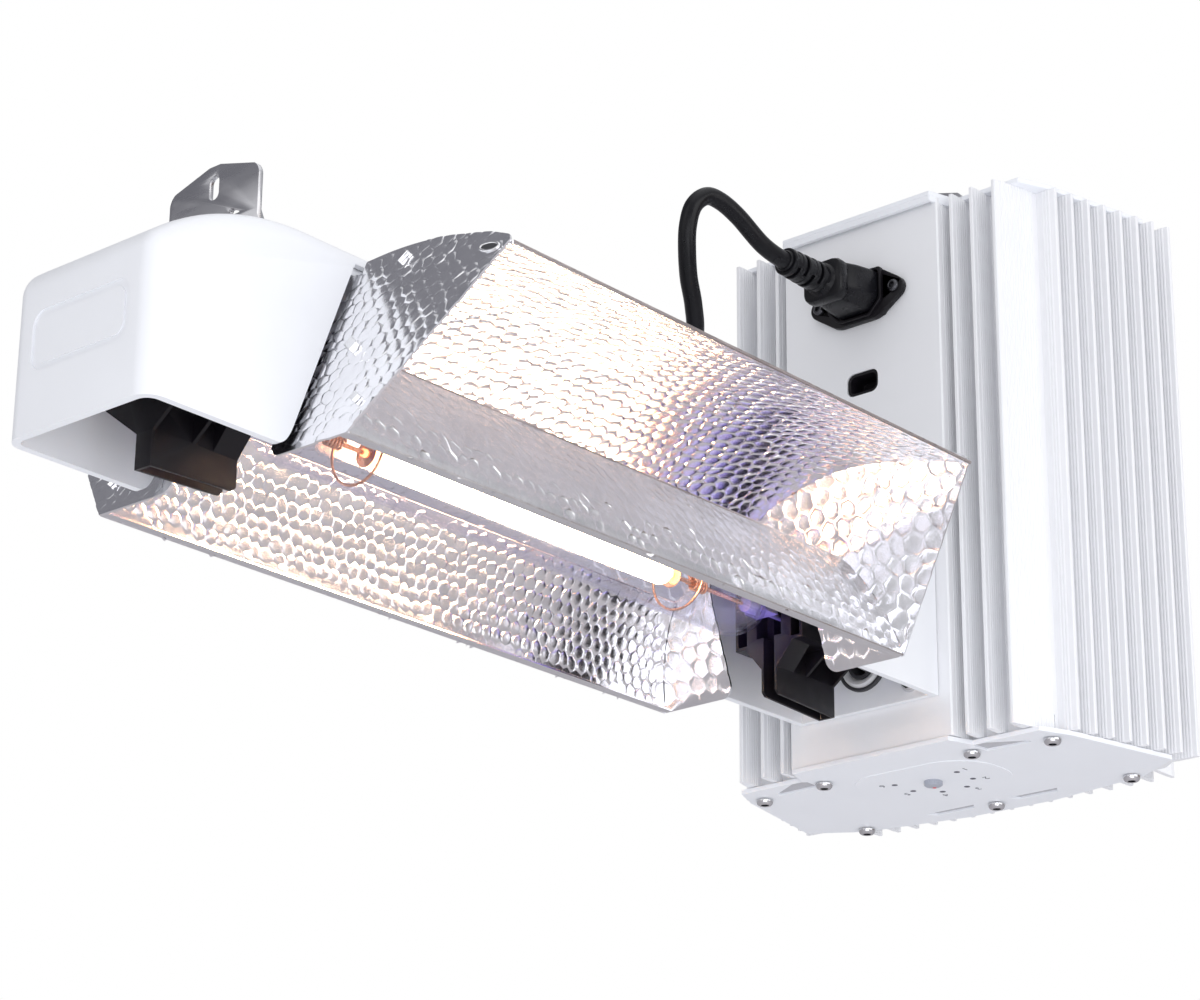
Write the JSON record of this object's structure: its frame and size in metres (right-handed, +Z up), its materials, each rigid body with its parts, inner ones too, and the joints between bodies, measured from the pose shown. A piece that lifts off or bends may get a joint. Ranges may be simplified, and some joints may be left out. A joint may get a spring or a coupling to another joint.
{
  "type": "grow lamp",
  "caption": "Double-ended grow lamp: finned ballast, hammered gull-wing reflector with side baffles, tubular lamp, end cap, hangers and power cord.",
  "frame": {"origin": "middle of the fixture's footprint, level with its lowest point, the underside of the output knob", "axes": "+X along the lamp from the end cap to the ballast, +Y across the lamp, +Z up; light leaves along -Z"},
  "size_m": [0.5404, 0.223, 0.2779],
  "materials": {
    "white_paint": "satin white powder coat",
    "cover_paint": "satin white powder coat",
    "hammered_aluminium": "bright hammered sheet",
    "zinc_steel": "zinc plated",
    "chrome": "polished",
    "brass": "plain",
    "copper": "plain",
    "black_plastic": "moulded, lightly textured",
    "black_rubber": "moulded PVC",
    "grey_plastic": "moulded",
    "silicone": "white silicone",
    "ceramic": "unglazed",
    "quartz": "clear fused quartz",
    "arc_ceramic": "translucent alumina, lit",
    "board": "solder mask",
    "ferrite": "sintered",
    "sleeve": "shrink sleeve"
  },
  "bodies": {
    "fixture": {"top_reflector": "hammered_aluminium", "left_baffle": "hammered_aluminium", "right_baffle": "hammered_aluminium", "near_end_plate": "hammered_aluminium", "far_end_plate": "hammered_aluminium", "near_lamp_holder": "black_plastic", "far_lamp_holder": "black_plastic", "near_contact_clip": "copper", "far_contact_clip": "copper", "end_cap": "white_paint", "top_channel": "white_paint", "cap_hanger": "zinc_steel", "cap_hanger_bolt_1": "chrome", "cap_hanger_bolt_2": "chrome", "socket_housing": "white_paint", "housing_screw_1": "chrome", "housing_screw_2": "chrome", "ballast_housing": "white_paint", "bottom_cover": "cover_paint", "top_cover": "cover_paint", "bottom_screw_1": "chrome", "bottom_screw_2": "chrome", "bottom_screw_3": "chrome", "bottom_screw_4": "chrome", "bottom_screw_5": "chrome", "bottom_screw_6": "chrome", "bottom_screw_7": "chrome", "ballast_hanger": "zinc_steel", "ballast_hanger_bolt_1": "chrome", "ballast_hanger_bolt_2": "chrome", "power_inlet": "black_plastic", "inlet_pin_1": "brass", "inlet_pin_2": "brass", "inlet_pin_3": "brass", "inlet_screw_1": "chrome", "inlet_screw_2": "chrome", "control_port": "black_plastic", "lead_grommet": "silicone", "rotary_switch": "black_plastic", "circuit_board": "board", "choke_core": "ferrite", "choke_winding": "copper", "transformer_core": "ferrite", "transformer_winding": "copper", "bulk_capacitor": "sleeve", "near_lamp_lead": "silicone", "far_lamp_lead": "silicone"},
    "knob": {"output_knob": "grey_plastic"},
    "lamp": {"bulb_envelope": "quartz", "arc_tube": "arc_ceramic", "near_lamp_seal": "ceramic", "far_lamp_seal": "ceramic", "near_wire_support": "zinc_steel", "far_wire_support": "zinc_steel"},
    "cord": {"cord_connector": "black_rubber", "power_cord": "black_rubber", "mains_plug": "black_rubber", "mains_blade_1": "brass", "mains_blade_2": "brass", "mains_blade_3": "brass"}
  },
  "joints": [
    {"name": "knob_turn", "type": "hinge", "parent": "fixture", "child": "knob", "pos_m": [0.2032, 0, -0.0004], "axis": [0, 0, 1], "range_deg": [-130.8, 87.2]},
    {"name": "lamp_release", "type": "slide", "parent": "fixture", "child": "lamp", "axis": [0, 0, -1], "range_m": [0, 0.06]},
    {"name": "cord_unplug", "type": "slide", "parent": "fixture", "child": "cord", "axis": [-1, 0, 0], "range_m": [0, 0.022]}
  ]
}
